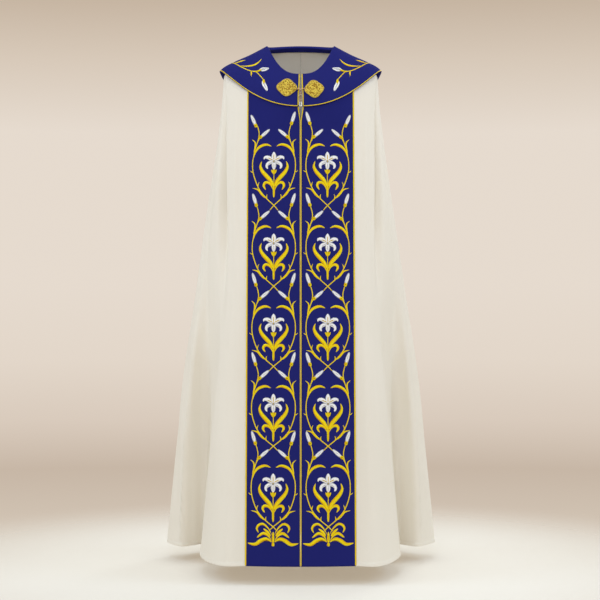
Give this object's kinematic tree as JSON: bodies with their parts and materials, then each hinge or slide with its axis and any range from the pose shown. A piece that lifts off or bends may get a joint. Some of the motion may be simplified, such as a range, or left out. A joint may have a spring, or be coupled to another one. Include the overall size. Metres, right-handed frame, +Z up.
{
  "type": "cope vestment",
  "caption": "Full-length open mantle of thin cloth worn over the shoulders, with bands down both fronts, a cape collar and a fastened breast clasp with a swinging chain.",
  "frame": {"origin": "middle of the neck opening at the height of the shoulders, where the wearer's shoulders hold the garment", "axes": "+Z up along the hanging cloth, the wearer faces -Y, +X is to the right as seen from in front"},
  "size_m": [0.8209, 0.6558, 1.5071],
  "materials": {
    "cream_cloth": "matt ivory cope cloth with a soft hand",
    "blue_cloth": "deep blue cloth with a fine weave and a faint sheen",
    "gold_thread": "glossy gold braid and satin-stitched thread",
    "gold_bullion": "nubbly gold bullion with small bright points",
    "white_thread": "white satin-stitched thread with grey and tan shading",
    "clasp_metal": "pale polished metal, slightly worn"
  },
  "bodies": {
    "garment": {"body_left": "cream_cloth", "body_right": "cream_cloth", "band_left": "blue_cloth", "band_right": "blue_cloth", "front_braid_left": "gold_thread", "front_braid_right": "gold_thread", "side_braid_left": "gold_thread", "side_braid_right": "gold_thread", "cape_collar": "blue_cloth", "collar_piping": "gold_thread", "collar_braid_left": "gold_thread", "collar_braid_right": "gold_thread", "morse_left": "gold_bullion", "morse_right": "gold_bullion", "clasp_hook": "clasp_metal", "clasp_eye": "clasp_metal"},
    "chain": {"chain_link_1": "clasp_metal", "chain_link_2": "clasp_metal", "chain_link_3": "clasp_metal", "chain_link_4": "clasp_metal", "chain_link_5": "clasp_metal", "chain_hook": "clasp_metal"}
  },
  "joints": [
    {"name": "chain_swing", "type": "hinge", "parent": "garment", "child": "chain", "pos_m": [0, -0.11643, -0.1414], "axis": [-1, 0, 0], "range_deg": [0, 80]}
  ]
}
